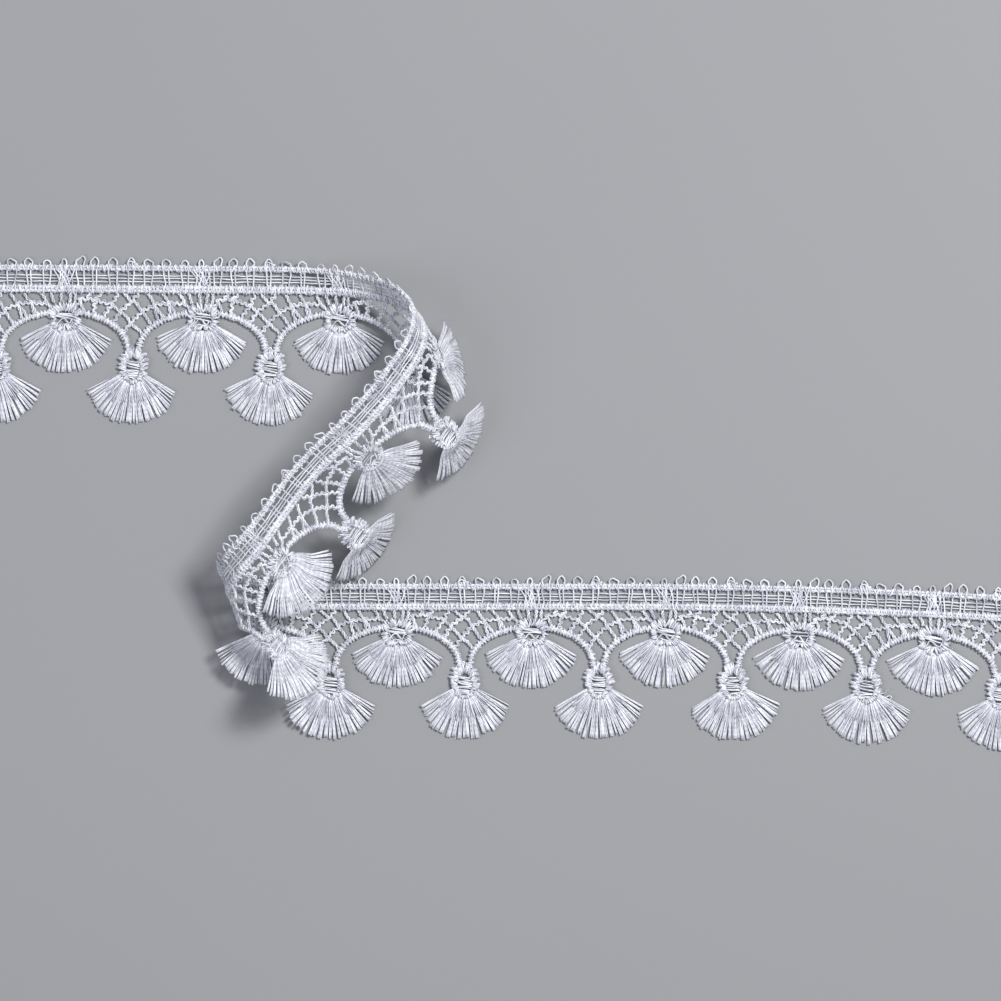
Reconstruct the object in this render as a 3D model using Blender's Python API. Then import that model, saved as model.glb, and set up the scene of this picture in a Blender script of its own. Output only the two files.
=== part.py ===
"""Guipure lace trim: a scalloped strip with fans of cut threads, laid in one flat turn on a table.

The strip is drawn flat, as it is embroidered, in distances along it (u) and down from its picot
edge (v). A short table of fold lines then rolls it, without stretching it, into the shape in
which it lies: flat, up and over to the right, down the diagonal back side up, under to the left,
and flat again. The origin is on the table, under the middle of the layout.
"""
import math
import random
from collections import namedtuple

import bmesh
import bpy
from mathutils import Matrix, Vector
from mathutils.geometry import delaunay_2d_cdt

MM = 0.001

# Across the trim, from the picot tips down
TRIM_WIDTH = 42.1 * MM
BAR_TOP = 1.3 * MM
UPPER_BAR = 2.1 * MM
LOWER_BAR = 7.6 * MM
SCALLOP_FOOT = 22.5 * MM

# Along the trim
REPEAT = 34.0 * MM
FIRST_CUT = -0.84
LAST_CUT = 11.87
PICOTS = 8
CUT_MARGIN = 0.6 * MM

# Scallops, and the heads and fans in and between them
SCALLOP_HALF_WIDTH = 14.9 * MM
SCALLOP_HEIGHT = 8.7 * MM
HEAD_HALF_WIDTH = 3.75 * MM
HEAD_CROWN = 0.6
GAP = 0.5 * MM

# A row of fans: the head's middle below the picot tips and its half height, how far the outer
# and the middle locks reach from there, and how far below level the outer ones point
Fan = namedtuple("Fan", "depth half_height outer_reach middle_reach outer_angle")
UPPER_FAN = Fan(14.4 * MM, 3.4 * MM, 12.6 * MM, 13.8 * MM, 25.0)
LOWER_FAN = Fan(26.5 * MM, 3.55 * MM, 12.6 * MM, 15.0 * MM, 29.0)

# The locks of a fan: how many, the share of its angle that each fills, the share of the reach
# at which they part, and how uneven they are
LOCKS = 12
LOCK_FILL = 0.78
SPLIT = (0.55, 0.68)
LOCK_TURN = 0.6
LOCK_TRIM = 0.45 * MM
SPRING = 5.0 * MM

# Thickness
CLOTH = 1.1 * MM
BAR_RISE = 0.5 * MM
HEAD_RISE = 0.7 * MM
TIP = 0.8 * MM

# Where the trim lies on the table
UPPER_RUN_START = Vector((-108.75 * MM, 62.2 * MM, 0.0))
UPPER_RUN_ANGLE = math.radians(-0.4)
LOWER_RUN_START = Vector((-59.2 * MM, -17.5 * MM, 0.0))
LOWER_RUN_DRIFT_FROM = 28.0 * MM
LOWER_RUN_DRIFT = 0.3

# The length of a repeat differs a little from run to run: it starts at this repeat, in mm
REPEAT_LENGTHS = ((-1.0, 34.375), (3.0, 34.0), (6.0, 33.5))

# Fold lines, straight across the flat strip: where each one meets the picot edge and the line of
# the fan tips (mm along the strip), and how far the strip turns before the next one (degrees)
FoldLine = namedtuple("FoldLine", "picot foot turn")
FOLD_LINES = (
    FoldLine(47.0, 104.0, -77.5),
    FoldLine(90.0, 107.5, -83.5),
    FoldLine(110.0, 118.5, -30.5),
    FoldLine(141.0, 141.0, 24.5),
    FoldLine(156.0, 156.0, 5.0),
    FoldLine(159.0, 202.0, -94.5),
    FoldLine(185.0, 206.0, -55.0),
    FoldLine(193.0, 209.0, -55.0),
    FoldLine(212.0, 222.0, 0.0),
)
STEPS = 24

# The repeats that these fold lines bend
FOLDED = (1.4, 6.4)

# Fans that spring off the folded strip, by their repeat: degrees turned in the strip's plane,
# dipped towards the tips, and rolled about the fan's own middle
Lean = namedtuple("Lean", "swing dip roll")
FANS_OFF_THE_STRIP = {
    3.0: Lean(-15.0, 0.0, -5.0),
    3.5: Lean(-8.0, -24.0, 0.0),
    4.0: Lean(0.0, -4.0, 0.0),
    4.5: Lean(5.0, -24.0, 4.0),
    5.0: Lean(14.0, 14.0, -3.0),
    5.5: Lean(5.0, 17.0, 30.0),
    6.0: Lean(1.0, 6.0, -26.0),
}

# Gaps of the lattice in one repeat: from the middle between two scallops and down from the
# picot tips, then width and height (mm)
LATTICE_GAPS = (
    (-9.3, 9.4, 2.6, 1.3),
    (-5.5, 9.9, 3.6, 2.2),
    (-0.4, 9.3, 3.2, 1.1),
    (5.5, 9.9, 3.1, 2.1),
    (9.3, 9.6, 3.2, 1.4),
    (-10.8, 11.9, 2.5, 2.2),
    (-7.7, 12.4, 2.3, 2.2),
    (-2.6, 11.2, 3.1, 2.6),
    (2.5, 11.2, 3.1, 2.6),
    (7.3, 12.6, 2.7, 2.4),
    (11.0, 12.0, 2.7, 1.9),
    (-5.2, 13.9, 2.9, 2.8),
    (-0.2, 13.6, 3.3, 2.8),
    (4.8, 14.1, 2.7, 2.5),
    (-2.4, 16.5, 2.6, 3.1),
    (2.2, 16.5, 2.8, 3.1),
    (0.0, 19.9, 2.5, 3.6),
)
GAP_CORNERS = 5


def smooth_step(value):
    value = min(max(value, 0.0), 1.0)
    return value * value * (3.0 - 2.0 * value)


def along(repeat):
    """The distance along the flat strip, from the first whole scallop's middle."""
    starts = [row[0] for row in REPEAT_LENGTHS] + [math.inf]
    total = 0.0
    for (start, length), end in zip(REPEAT_LENGTHS, starts[1:]):
        low = max(start, 0.0)
        if repeat > low:
            total += (min(repeat, end) - low) * length * MM
    if repeat < 0.0:
        total = repeat * REPEAT_LENGTHS[0][1] * MM
    return total


def fold_line(index, share):
    """A point on a fold line, share 0 at the picot edge and 1 at the fan tips."""
    line = FOLD_LINES[index]
    return (line.picot + (line.foot - line.picot) * share) * MM


def turn_about_line(picot, foot, angle):
    """The turn by an angle about the straight line from the fan tips to the picot edge."""
    base = Vector((picot, 0.0, 0.0))
    axis = base - Vector((foot, -TRIM_WIDTH, 0.0))
    turn = Matrix.Rotation(angle, 4, axis.normalized())
    return Matrix.Translation(base) @ turn @ Matrix.Translation(-base)


def rolled_frames():
    """For each stretch between two fold lines, the strip's placings from its start to its end."""
    now = Matrix.Translation(UPPER_RUN_START) @ Matrix.Rotation(UPPER_RUN_ANGLE, 4, "Z")
    stretches = []
    for index in range(len(FOLD_LINES) - 1):
        angle = math.radians(FOLD_LINES[index].turn) / STEPS
        placings = [now.copy()]
        for step in range(STEPS):
            share = (step + 0.5) / STEPS
            ends = []
            for side in (0.0, 1.0):
                start = fold_line(index, side)
                ends.append(start + (fold_line(index + 1, side) - start) * share)
            now = now @ turn_about_line(ends[0], ends[1], angle)
            placings.append(now.copy())
        stretches.append(placings)
    return stretches


ROLLED = rolled_frames()


def on_lower_run(u, v, h):
    """The lower run lies flat, and drifts a little off a straight line towards its cut end."""
    x = LOWER_RUN_START.x + u - along(6.0)
    drift = LOWER_RUN_DRIFT * max(x - LOWER_RUN_DRIFT_FROM, 0.0) ** 2
    return Vector((x, LOWER_RUN_START.y - v - drift, h))


def lay(u, v, h):
    """Where a point of the flat strip lies, h above the side that is down on the flat runs."""
    point = Vector((u, -v, h))
    placing = ROLLED[0][0]
    share = v / TRIM_WIDTH
    for index, placings in enumerate(ROLLED):
        start = fold_line(index, share)
        if u <= start:
            break
        reach = min((u - start) / (fold_line(index + 1, share) - start), 1.0)
        step = min(int(reach * STEPS), STEPS - 1)
        placing = placings[step].lerp(placings[step + 1], reach * STEPS - step)
        if index == len(ROLLED) - 1:
            rolled = placing @ point
            return rolled.lerp(on_lower_run(u, v, h), smooth_step(reach))
        if reach < 1.0:
            break
    laid = placing @ point
    laid.z = max(laid.z, 0.0)
    return laid


def frame_on_strip(u, v):
    """The strip's own directions at a point: along it, up towards the picots, and out of it."""
    reach = 0.5 * MM
    right = (lay(u + reach, v, 0.0) - lay(u - reach, v, 0.0)).normalized()
    up = lay(u, v - reach, 0.0) - lay(u, v + reach, 0.0)
    out = right.cross(up).normalized()
    up = out.cross(right)
    frame = Matrix((right, up, out)).transposed().to_4x4()
    return Matrix.Translation(lay(u, v, 0.0)) @ frame


def oval(centre_x, centre_y, half_width, half_height, start, end, count):
    """Points on an oval, in degrees from the right, with y down."""
    points = []
    for index in range(count):
        angle = math.radians(start + (end - start) * index / (count - 1))
        x = centre_x + half_width * math.cos(angle)
        points.append((x, centre_y + half_height * math.sin(angle)))
    return points


def picot_edge():
    """The top edge from the first cut to the last, with a small tooth for each picot."""
    tooth = ((-0.95, BAR_TOP), (-0.5, 0.0), (0.5, 0.0), (0.95, BAR_TOP))
    points = [(along(FIRST_CUT), BAR_TOP)]
    for index in range(math.ceil(FIRST_CUT * PICOTS), math.floor(LAST_CUT * PICOTS) + 1):
        middle = along(index / PICOTS)
        if not along(FIRST_CUT) + MM < middle < along(LAST_CUT) - MM:
            continue
        points += [(middle + x * MM, v) for x, v in tooth]
    points.append((along(LAST_CUT), BAR_TOP))
    return points


def scallop_edge():
    """The lower edge from the first cut to the last, round each head and along each scallop."""
    notch = (HEAD_HALF_WIDTH + GAP, UPPER_FAN.half_height + GAP)
    slope = math.degrees(math.acos(notch[0] / SCALLOP_HALF_WIDTH))
    left = oval(0.0, SCALLOP_FOOT, SCALLOP_HALF_WIDTH, SCALLOP_HEIGHT, -180.0, -180.0 + slope, 9)
    middle = oval(0.0, UPPER_FAN.depth, notch[0], notch[1], -160.0, -20.0, 6)
    right = [(-x, y) for x, y in reversed(left)]
    points = []
    for repeat in range(math.floor(FIRST_CUT), math.ceil(LAST_CUT) + 1):
        for x, v in left + middle + right:
            place = repeat + x / REPEAT
            if FIRST_CUT < place < LAST_CUT:
                points.append((along(place), v))
    return points


def lattice_gap(repeat, middle, depth, width, height):
    points = []
    for corner in range(GAP_CORNERS):
        angle = 2.0 * math.pi * (corner + 0.25) / GAP_CORNERS
        x = middle * MM + 0.5 * width * MM * math.cos(angle)
        points.append((along(repeat + x / REPEAT), depth * MM + 0.5 * height * MM * math.sin(angle)))
    return points


def lattice_gaps():
    """The gaps of every lattice between two scallops that lies whole between the cuts."""
    gaps = []
    for index in range(math.floor(FIRST_CUT), math.ceil(LAST_CUT) + 1):
        for middle, depth, width, height in LATTICE_GAPS:
            gap = lattice_gap(index + 0.5, middle, depth, width, height)
            low = min(u for u, v in gap)
            high = max(u for u, v in gap)
            if low > along(FIRST_CUT) + CUT_MARGIN and high < along(LAST_CUT) - CUT_MARGIN:
                gaps.append(gap)
    return gaps


def bar_points():
    """Points along both bars, which stand proud of the strip, and between them."""
    rows = (UPPER_BAR, 0.5 * (UPPER_BAR + LOWER_BAR), LOWER_BAR)
    points = []
    for index in range(math.ceil(FIRST_CUT * 2 * PICOTS), math.floor(LAST_CUT * 2 * PICOTS)):
        place = (index + 0.5) / (2 * PICOTS)
        is_folded = FOLDED[0] < place < FOLDED[1]
        if index % 2 == 0 or is_folded:
            points += [(along(place), row) for row in rows]
    return points


def is_inside(point, loop):
    """Whether a point is inside a closed loop, by counting the sides that it crosses."""
    x, y = point
    inside = False
    for (ax, ay), (bx, by) in zip(loop, loop[1:] + loop[:1]):
        if (ay > y) != (by > y) and x < ax + (bx - ax) * (y - ay) / (by - ay):
            inside = not inside
    return inside


def fill(outline, holes, inner_points):
    """Triangles between an outline and its holes, as (points, corner triples)."""
    loops = [outline] + holes
    points = []
    edges = []
    for loop in loops:
        first = len(points)
        points += loop
        edges += [(first + i, first + (i + 1) % len(loop)) for i in range(len(loop))]
    points += inner_points
    flat = [Vector(point) / MM for point in points]
    found, _, triangles, _, _, _ = delaunay_2d_cdt(flat, edges, [], 0, 1e-5)
    spots = [(point.x * MM, point.y * MM) for point in found]
    boxes = []
    for hole in holes:
        us = [u for u, v in hole]
        boxes.append((min(us), max(us), hole))
    kept = []
    for triangle in triangles:
        x = sum(spots[i][0] for i in triangle) / 3.0
        y = sum(spots[i][1] for i in triangle) / 3.0
        if not is_inside((x, y), outline):
            continue
        if any(low < x < high and is_inside((x, y), hole) for low, high, hole in boxes):
            continue
        kept.append(triangle)
    return spots, kept


def thick_sheet(name, spots, triangles, place, height):
    """A closed solid over flat triangles: an under side at 0, an upper side at each height."""
    mesh = bmesh.new()
    under = [mesh.verts.new(place(x, y, 0.0)) for x, y in spots]
    upper = [mesh.verts.new(place(x, y, height(x, y))) for x, y in spots]
    sides = {}
    for a, b, c in triangles:
        mesh.faces.new((upper[a], upper[b], upper[c]))
        mesh.faces.new((under[c], under[b], under[a]))
        for pair in ((a, b), (b, c), (c, a)):
            sides[pair] = sides.get(pair, 0) + 1
    for a, b in sides:
        if (b, a) not in sides:
            mesh.faces.new((upper[b], upper[a], under[a]))
            mesh.faces.new((upper[b], under[a], under[b]))
    loose = [vert for vert in mesh.verts if not vert.link_faces]
    bmesh.ops.delete(mesh, geom=loose, context="VERTS")
    bmesh.ops.recalc_face_normals(mesh, faces=mesh.faces)
    data = bpy.data.meshes.new(name)
    mesh.to_mesh(data)
    mesh.free()
    thing = bpy.data.objects.new(name, data)
    bpy.context.scene.collection.objects.link(thing)
    return thing


def thread_material(name, colour, roughness):
    material = bpy.data.materials.new(name)
    material.use_nodes = True
    shader = material.node_tree.nodes["Principled BSDF"]
    shader.inputs["Base Color"].default_value = (*colour, 1.0)
    shader.inputs["Roughness"].default_value = roughness
    shader.inputs["Metallic"].default_value = 0.0
    return material


def strip_height(u, v):
    """The two bars stand proud of the ground between them."""
    for bar in (UPPER_BAR, LOWER_BAR):
        if math.isclose(v, bar, abs_tol=0.01 * MM):
            return CLOTH + BAR_RISE
    return CLOTH


def make_strip():
    top = picot_edge()
    foot = scallop_edge()
    foot = [(along(FIRST_CUT), foot[0][1])] + foot + [(along(LAST_CUT), foot[-1][1])]
    outline = top + list(reversed(foot))
    spots, triangles = fill(outline, lattice_gaps(), bar_points())
    strip = thick_sheet("lace_strip", spots, triangles, lay, strip_height)
    strip.data.materials.append(thread_material("strip thread", (0.80, 0.81, 0.85), 0.6))


def fan_outline(fan, draw):
    """A wrapped head with its spread of locks, about the head's middle, with y down."""
    points = oval(0.0, 0.0, HEAD_HALF_WIDTH, fan.half_height, -180.0, 0.0, 9)
    width = (180.0 - 2.0 * fan.outer_angle) / LOCKS
    for lock in range(LOCKS):
        middle = fan.outer_angle + width * (lock + 0.5) + draw.uniform(-LOCK_TURN, LOCK_TURN)
        inward = smooth_step(1.0 - abs(middle - 90.0) / (90.0 - fan.outer_angle))
        reach = fan.outer_reach + (fan.middle_reach - fan.outer_reach) * inward
        reach -= draw.uniform(-0.5 * LOCK_TRIM, LOCK_TRIM)
        for side in (-0.5, 0.5):
            angle = math.radians(middle + side * LOCK_FILL * width)
            points.append((reach * math.cos(angle), reach * math.sin(angle)))
        if lock < LOCKS - 1:
            root = math.radians(fan.outer_angle + width * (lock + 1.0))
            depth = draw.uniform(*SPLIT) * reach
            points.append((depth * math.cos(root), depth * math.sin(root)))
    return points


def fan_height(fan):
    """A head that is domed, and locks that thin out towards their tips."""
    def height(x, y):
        across = math.hypot(x / HEAD_HALF_WIDTH, y / fan.half_height)
        if across < 1.0:
            return CLOTH + HEAD_RISE * math.sqrt(1.0 - across * across)
        out = (math.hypot(x, y) - HEAD_HALF_WIDTH) / (fan.middle_reach - HEAD_HALF_WIDTH)
        return CLOTH + (TIP - CLOTH) * min(max(out, 0.0), 1.0)
    return height


def fan_placing(repeat, depth):
    """The head follows the strip; on the folds the locks spring straight off from it."""
    middle = along(repeat)
    if repeat not in FANS_OFF_THE_STRIP:
        return lambda x, y, h: lay(middle + x, depth + y, h)
    swing, dip, roll = (math.radians(angle) for angle in FANS_OFF_THE_STRIP[repeat])
    frame = frame_on_strip(middle, depth) @ Matrix.Rotation(swing, 4, "Z")
    frame = frame @ Matrix.Rotation(dip, 4, "X") @ Matrix.Rotation(roll, 4, "Y")

    def place(x, y, h):
        free = smooth_step((math.hypot(x, y) - HEAD_HALF_WIDTH) / SPRING)
        head = lay(middle + x, depth + y, h)
        return head.lerp(frame @ Vector((x, -y, h)), free)
    return place


def make_fan(number, repeat):
    fan = LOWER_FAN if repeat % 1.0 == 0.5 else UPPER_FAN
    outline = fan_outline(fan, random.Random(number))
    crown = oval(0.0, 0.0, HEAD_CROWN * HEAD_HALF_WIDTH, HEAD_CROWN * fan.half_height, 0.0, 300.0, 6)
    spots, triangles = fill(outline, [], crown + [(0.0, 0.0)])
    name = f"fan_{number:02d}"
    thing = thick_sheet(name, spots, triangles, fan_placing(repeat, fan.depth), fan_height(fan))
    thing.data.materials.append(thread_material(name + " thread", (0.84, 0.85, 0.89), 0.45))


def clear_scene():
    for thing in list(bpy.data.objects):
        bpy.data.objects.remove(thing, do_unlink=True)


def main():
    clear_scene()
    make_strip()
    first = math.ceil(2.0 * FIRST_CUT + 0.5)
    last = math.floor(2.0 * LAST_CUT - 0.5)
    for number, half in enumerate(range(first, last + 1), start=1):
        make_fan(number, 0.5 * half)


main()
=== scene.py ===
import math
from collections import namedtuple

import bpy
import numpy as np
from mathutils import Matrix, Vector


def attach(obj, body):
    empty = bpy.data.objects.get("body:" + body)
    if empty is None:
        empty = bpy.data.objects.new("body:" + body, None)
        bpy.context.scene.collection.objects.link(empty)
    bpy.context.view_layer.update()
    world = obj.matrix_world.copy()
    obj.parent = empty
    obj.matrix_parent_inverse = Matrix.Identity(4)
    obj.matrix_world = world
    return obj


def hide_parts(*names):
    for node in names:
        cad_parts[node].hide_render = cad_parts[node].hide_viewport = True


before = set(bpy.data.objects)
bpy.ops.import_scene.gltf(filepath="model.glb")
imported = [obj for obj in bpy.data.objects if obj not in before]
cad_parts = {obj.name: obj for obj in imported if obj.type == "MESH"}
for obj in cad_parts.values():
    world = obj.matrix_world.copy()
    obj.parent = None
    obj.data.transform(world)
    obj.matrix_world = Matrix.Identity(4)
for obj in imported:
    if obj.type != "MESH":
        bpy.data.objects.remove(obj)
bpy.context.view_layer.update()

# The heading is the straight edge that is sewn on. Like the whole trim, it is stitched in white
# rayon thread on a ground that is dissolved afterwards. A thin and a thick bar are whipped over
# with zigzag stitches. Single threads cross them and the three running threads, and loop out as
# picots.
MM = 0.001

# The trim's width (mm), its two cuts, counted in repeats from the first whole scallop's middle,
# and the even length of a repeat (mm)
TRIM_WIDTH = 42.1
FIRST_CUT = -0.84
LAST_CUT = 11.87
REPEAT = 34.0

# The length of a repeat differs a little from run to run (mm, from this repeat on)
RepeatLength = namedtuple("RepeatLength", "start length")
REPEAT_LENGTHS = (RepeatLength(-1.0, 34.375), RepeatLength(3.0, 34.0), RepeatLength(6.0, 33.5))
LAST_REPEAT = 13.0

# Where the trim lies: its two flat runs, and the fold lines between them. A fold line has the
# place where it meets the picot edge, the one where it meets the line of the fan tips (mm along),
# and the trim's turn before the next line (degrees).
UPPER_RUN_START = Vector((-108.75, 62.2, 0.0))
UPPER_RUN_ANGLE = math.radians(-0.4)
LOWER_RUN_START = Vector((-59.2, -17.5, 0.0))
FoldLine = namedtuple("FoldLine", "picot foot turn")
FOLD_LINES = (
    FoldLine(47.0, 104.0, -77.5),
    FoldLine(90.0, 107.5, -83.5),
    FoldLine(110.0, 118.5, -30.5),
    FoldLine(141.0, 141.0, 24.5),
    FoldLine(156.0, 156.0, 5.0),
    FoldLine(159.0, 202.0, -94.5),
    FoldLine(185.0, 206.0, -55.0),
    FoldLine(193.0, 209.0, -55.0),
    FoldLine(212.0, 222.0, 0.0),
)
FOLD_STEPS = 24

# The lower run starts at a scallop's middle, by its repeat, and bends away slowly towards the
# right. Its net and fans are drawn in towards the heading, more and more from one place below the
# picot tips to the other (mm).
LOWER_RUN_REPEAT = 6.0
LOWER_RUN_DRIFT_FROM = 28.0
LOWER_RUN_DRIFT = 0.0003
LOWER_RUN_DRAWN_IN = 0.9
DRAWN_IN_FROM = 5.2
DRAWN_IN_TO = 13.7

# The radius of the threads, and how closely the points lie along them (mm)
THREAD = 0.19
WHIP_THREAD = 0.21
PICOT_THREAD = 0.2
CURVE_STEPS = 10
FINE = 0.45
MEDIUM = 0.55
COARSE = 1.2

# The two bars: down from the picot tips, half as wide, and how often each winding comes round (mm)
Bar = namedtuple("Bar", "down half_width pitches")
THIN_BAR = Bar(down=2.5, half_width=0.78, pitches=(1.4, 1.55))
THICK_BAR = Bar(down=7.75, half_width=1.05, pitches=(1.1, 1.25, 1.9))
BAR_HEIGHT = 0.68
BAR_CORES = (-0.43, 0.43)
BAR_CORE = 0.47
BAR_CORE_SUNK = 0.05
BAR_CORE_SPACING = 1.4
BAR_SPACING = 1.0

# The windings of a bar, one over the other: the way round, the share of its width, the unevenness
Winding = namedtuple("Winding", "hand share uneven")
WINDINGS = (Winding(1.0, 1.0, 0.26), Winding(-1.0, 1.0, 0.3), Winding(1.0, 0.8, 0.32))
WINDING_RISE = 0.12

# The running threads, and the threads that cross them (mm down, and mm up from the table)
RUNNING_DOWN = (4.35, 5.1, 5.9)
RUNNING_HEIGHT = 0.5
RUNNING_SPACING = 2.1
CROSSING_HEIGHT = 0.8
CROSSING_FOOT = 7.3
FOOT_HEIGHT = 0.55
LOOP_HEIGHT = 0.65
UNEVEN = 0.12

# The picots of one repeat, from the middle of a scallop on: how far each is set along the trim
# from its even place, its tip down from the line of the tips, its width, its lean, and half the
# spread of its legs (mm)
Picot = namedtuple("Picot", "shift tip width lean spread")
PICOTS = (
    Picot(-0.35, 0.25, 1.25, 0.0, 0.5),
    Picot(-0.6, -0.35, 2.1, 0.55, 0.95),
    Picot(-1.15, -0.2, 2.0, 0.1, 0.6),
    Picot(-1.0, -0.1, 2.1, 0.0, 1.0),
    Picot(-0.6, -0.1, 1.7, 0.0, 0.65),
    Picot(-0.5, 0.35, 2.3, -0.3, 1.1),
    Picot(-0.5, 0.25, 2.1, 0.0, 0.5),
    Picot(-0.2, 0.5, 1.9, 0.0, 0.95),
)

# The picot that is stitched up into a cone and the one over a knot, by their row, and how far
# above the thin bar's middle each picot opens (mm)
CONE_PICOT = 4
TIED_PICOT = 0
PICOT_EYE = 0.65

# The knot of stitches in the heading over each scallop: where its threads start at the thin bar
# and end at the thick one, along the trim from the scallop's middle (mm)
Tie = namedtuple("Tie", "start end")
TIES = (
    Tie(-2.4, -0.6), Tie(-1.7, 0.7), Tie(-1.2, -1.6), Tie(-0.4, 1.5),
    Tie(0.3, -0.9), Tie(0.9, 0.2), Tie(1.5, 2.0), Tie(2.3, 0.6),
)
TIE_UNEVEN = 0.3


def smooth_step(value):
    """From 0 to 1, with soft ends."""
    value = np.clip(value, 0.0, 1.0)
    return value * value * (3.0 - 2.0 * value)


def repeat_places():
    """The first repeat of each run of equal repeats, and its place along the flat trim."""
    starts = [row.start for row in REPEAT_LENGTHS] + [LAST_REPEAT]
    places = [REPEAT_LENGTHS[0].start * REPEAT_LENGTHS[0].length]
    for row, end in zip(REPEAT_LENGTHS, starts[1:]):
        places.append(places[-1] + (end - row.start) * row.length)
    return starts, places


REPEAT_STARTS, REPEAT_PLACES = repeat_places()


def along(repeat):
    """The distance along the flat trim (mm), from the first whole scallop's middle."""
    return np.interp(repeat, REPEAT_STARTS, REPEAT_PLACES)


def fold_placings():
    """For each stretch between two fold lines, the trim's placings from its start to its end."""
    now = Matrix.Translation(UPPER_RUN_START) @ Matrix.Rotation(UPPER_RUN_ANGLE, 4, "Z")
    stretches = []
    for line, after in zip(FOLD_LINES, FOLD_LINES[1:]):
        placings = [now.copy()]
        for step in range(FOLD_STEPS):
            share = (step + 0.5) / FOLD_STEPS
            picot = line.picot + (after.picot - line.picot) * share
            foot = line.foot + (after.foot - line.foot) * share
            base = Vector((picot, 0.0, 0.0))
            axis = (base - Vector((foot, -TRIM_WIDTH, 0.0))).normalized()
            turn = Matrix.Rotation(math.radians(line.turn) / FOLD_STEPS, 4, axis)
            now = now @ Matrix.Translation(base) @ turn @ Matrix.Translation(-base)
            placings.append(now.copy())
        stretches.append(placings)
    return np.array([[np.array(placing) for placing in placings] for placings in stretches])


FOLDED = fold_placings()
PICOT_ENDS = np.array([line.picot for line in FOLD_LINES])
FOOT_ENDS = np.array([line.foot for line in FOLD_LINES])


def on_lower_run(flat):
    """Where flat points lie if they are on the lower run, in millimetres."""
    down = -flat[:, 1]
    x = LOWER_RUN_START.x + flat[:, 0] - along(LOWER_RUN_REPEAT)
    drift = LOWER_RUN_DRIFT * np.maximum(x - LOWER_RUN_DRIFT_FROM, 0.0) ** 2
    drawn_in = smooth_step((down - DRAWN_IN_FROM) / (DRAWN_IN_TO - DRAWN_IN_FROM))
    y = LOWER_RUN_START.y - down - drift + LOWER_RUN_DRAWN_IN * drawn_in
    return np.column_stack([x, y, flat[:, 2]])


def lay(flat):
    """Where flat points (mm along, mm up from the picot tips, mm off the table) lie, in metres."""
    u = flat[:, 0]
    down = -flat[:, 1]
    lines = PICOT_ENDS + (FOOT_ENDS - PICOT_ENDS) * (down / TRIM_WIDTH)[:, None]
    last = len(FOLD_LINES) - 2
    stretch = np.clip((u[:, None] > lines[:, :-1]).sum(axis=1) - 1, 0, last)
    row = np.arange(len(u))
    start = lines[row, stretch]
    reach = np.clip((u - start) / (lines[row, stretch + 1] - start), 0.0, 1.0)
    step = np.minimum((reach * FOLD_STEPS).astype(int), FOLD_STEPS - 1)
    share = (reach * FOLD_STEPS - step)[:, None, None]
    placing = FOLDED[stretch, step] * (1.0 - share) + FOLDED[stretch, step + 1] * share
    laid = np.einsum("nij,nj->ni", placing[:, :3, :3], flat) + placing[:, :3, 3]
    settled = np.where(stretch == last, smooth_step(reach), 0.0)[:, None]
    laid = laid * (1.0 - settled) + on_lower_run(flat) * settled
    laid[:, 2] = np.maximum(laid[:, 2], 0.0)
    return laid * MM


def length_along(points):
    """How far along its line each point lies."""
    return np.concatenate([[0.0], np.cumsum(np.linalg.norm(np.diff(points, axis=0), axis=1))])


def spaced(points, spacing):
    """The same line with its points a given distance apart."""
    points = np.asarray(points, float)
    reach = length_along(points)
    count = max(int(round(reach[-1] / spacing)), 2) + 1
    marks = np.linspace(0.0, reach[-1], count)
    return np.column_stack([np.interp(marks, reach, points[:, axis]) for axis in range(3)])


def rounded(points, spacing):
    """A smooth thread line through a few points."""
    points = np.asarray(points, float)
    ends = np.vstack([2.0 * points[0] - points[1], points, 2.0 * points[-1] - points[-2]])
    share = np.linspace(0.0, 1.0, CURVE_STEPS, endpoint=False)[:, None]
    line = []
    for a, b, c, d in zip(ends, ends[1:], ends[2:], ends[3:]):
        squared = 2.0 * a - 5.0 * b + 4.0 * c - d
        cubed = 3.0 * b - a - 3.0 * c + d
        curve = squared * share**2 + cubed * share**3
        line.append(0.5 * (2.0 * b + (c - a) * share + curve))
    return spaced(np.vstack(line + [points[-1:]]), spacing)


def whipped(core, across, rise, pitch, draw, hand=1.0, per_turn=8, uneven=0.2):
    """A thread wound unevenly round a core line: its path, and the way out from the core."""
    reach = length_along(core)
    halves = max(int(round(2.0 * reach[-1] / pitch)), 4)
    marks = np.arange(halves + 1)
    steps = draw.uniform(1.0 - 2.0 * uneven, 1.0 + 2.0 * uneven, halves)
    gone = np.concatenate([[0.0], np.cumsum(steps)]) * (reach[-1] / np.sum(steps))
    half = np.linspace(0.0, halves, int(0.5 * halves * per_turn) + 1)
    centre = np.interp(half, marks, gone)
    centre = np.column_stack([np.interp(centre, reach, core[:, axis]) for axis in range(3)])
    way = np.gradient(centre, axis=0)
    side = np.column_stack([-way[:, 1], way[:, 0], np.zeros(len(way))])
    side /= np.linalg.norm(side, axis=1)[:, None]
    up = np.array([0.0, 0.0, 1.0])
    swell = np.interp(half, marks, draw.uniform(1.0 - uneven, 1.0 + uneven, halves + 1))
    angle = hand * math.pi * half
    out = side * np.cos(angle)[:, None] + up * np.sin(angle)[:, None]
    sideways = across * swell * np.cos(angle)
    upwards = rise * np.sin(angle)
    return centre + side * sideways[:, None] + up * upwards[:, None], out


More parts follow.
